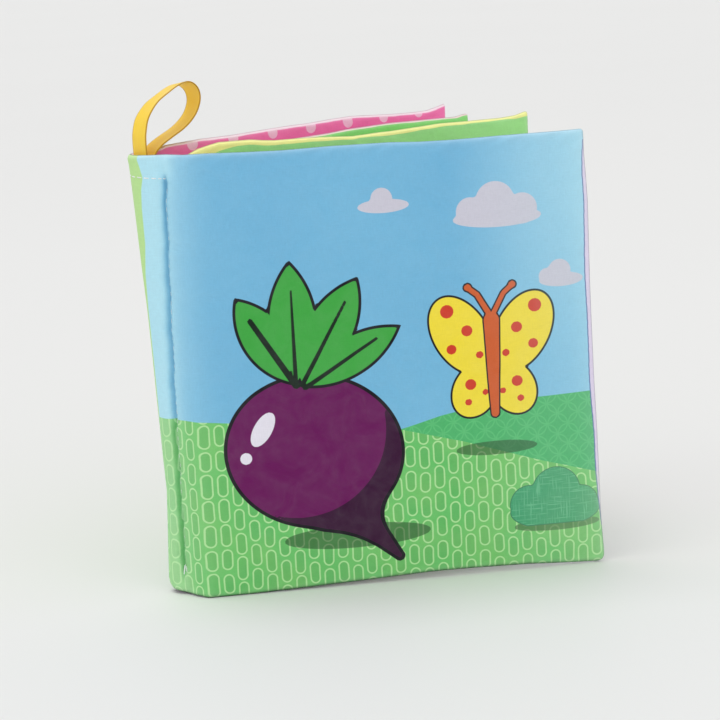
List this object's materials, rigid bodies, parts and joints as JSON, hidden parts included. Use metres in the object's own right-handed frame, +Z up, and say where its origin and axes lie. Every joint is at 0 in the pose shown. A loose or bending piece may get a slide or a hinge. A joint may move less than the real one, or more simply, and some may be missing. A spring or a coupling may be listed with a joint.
{
  "type": "crinkle cloth book",
  "caption": "Soft cloth baby book standing fanned open: stitched leaves with crinkle film and wadding, a puffy folded spine and a ribbon loop.",
  "frame": {"origin": "middle of the flat foot of the spine, on the surface the book stands on", "axes": "+Z up along the spine, +X from the spine to the fore edge along the front cover at rest, -Y the side the front cover faces"},
  "size_m": [0.1522, 0.0993, 0.1763],
  "materials": {
    "front_cover_print": "fine woven polyester, printed sky blue and green",
    "page_2_print": "fine woven polyester, printed lilac",
    "page_3_print": "fine woven polyester, printed light green",
    "page_4_print": "fine woven polyester, printed pale yellow",
    "page_5_print": "fine woven polyester, printed mid green",
    "page_6_print": "fine woven polyester, printed pale pink",
    "page_7_print": "fine woven polyester, printed pink with pale dots",
    "back_cover_print": "fine woven polyester, printed lime green",
    "wadding": "soft white polyester wadding",
    "ribbon": "yellow satin ribbon",
    "film": "clear crisp film, satin"
  },
  "bodies": {
    "spine": {"spine_cloth": "front_cover_print", "spine_wadding": "wadding", "spine_lining": "page_2_print", "inner_sheet_outer_fold": "page_3_print", "inner_sheet_inner_fold": "page_4_print", "ribbon_tails": "ribbon"},
    "front_cover": {"front_cover_cloth": "front_cover_print", "page_2_cloth": "page_2_print", "front_cover_wadding": "wadding", "front_cover_film": "film"},
    "leaf_2": {"page_3_cloth": "page_3_print", "page_4_cloth": "page_4_print", "leaf_2_wadding": "wadding", "leaf_2_film": "film"},
    "leaf_3": {"page_5_cloth": "page_5_print", "page_6_cloth": "page_6_print", "leaf_3_wadding": "wadding", "leaf_3_film": "film"},
    "back_cover": {"page_7_cloth": "page_7_print", "back_cover_cloth": "back_cover_print", "back_cover_wadding": "wadding", "back_cover_film": "film"},
    "loop": {"hanging_loop": "ribbon"}
  },
  "joints": [
    {"name": "front_cover_turn", "type": "hinge", "parent": "spine", "child": "front_cover", "pos_m": [0.00585, -0.00522, 0.075], "axis": [0, 0, 1], "range_deg": [-100, 17.8]},
    {"name": "leaf_2_turn", "type": "hinge", "parent": "spine", "child": "leaf_2", "pos_m": [0.00382, -0.00086, 0.075], "axis": [0, 0, 1], "range_deg": [-17.8, 11.4]},
    {"name": "leaf_3_turn", "type": "hinge", "parent": "spine", "child": "leaf_3", "pos_m": [0.0018, 0.00349, 0.075], "axis": [0, 0, 1], "range_deg": [-11.4, 3]},
    {"name": "back_cover_turn", "type": "hinge", "parent": "spine", "child": "back_cover", "pos_m": [-0.00023, 0.00784, 0.075], "axis": [0, 0, 1], "range_deg": [-3, 105]},
    {"name": "loop_sway", "type": "hinge", "parent": "spine", "child": "loop", "pos_m": [-0.00263, -0.00123, 0.1509], "axis": [-0.4695, 0.8829, 0], "range_deg": [-75, 20], "stiffness_Nm_per_rad": 0.0004}
  ]
}
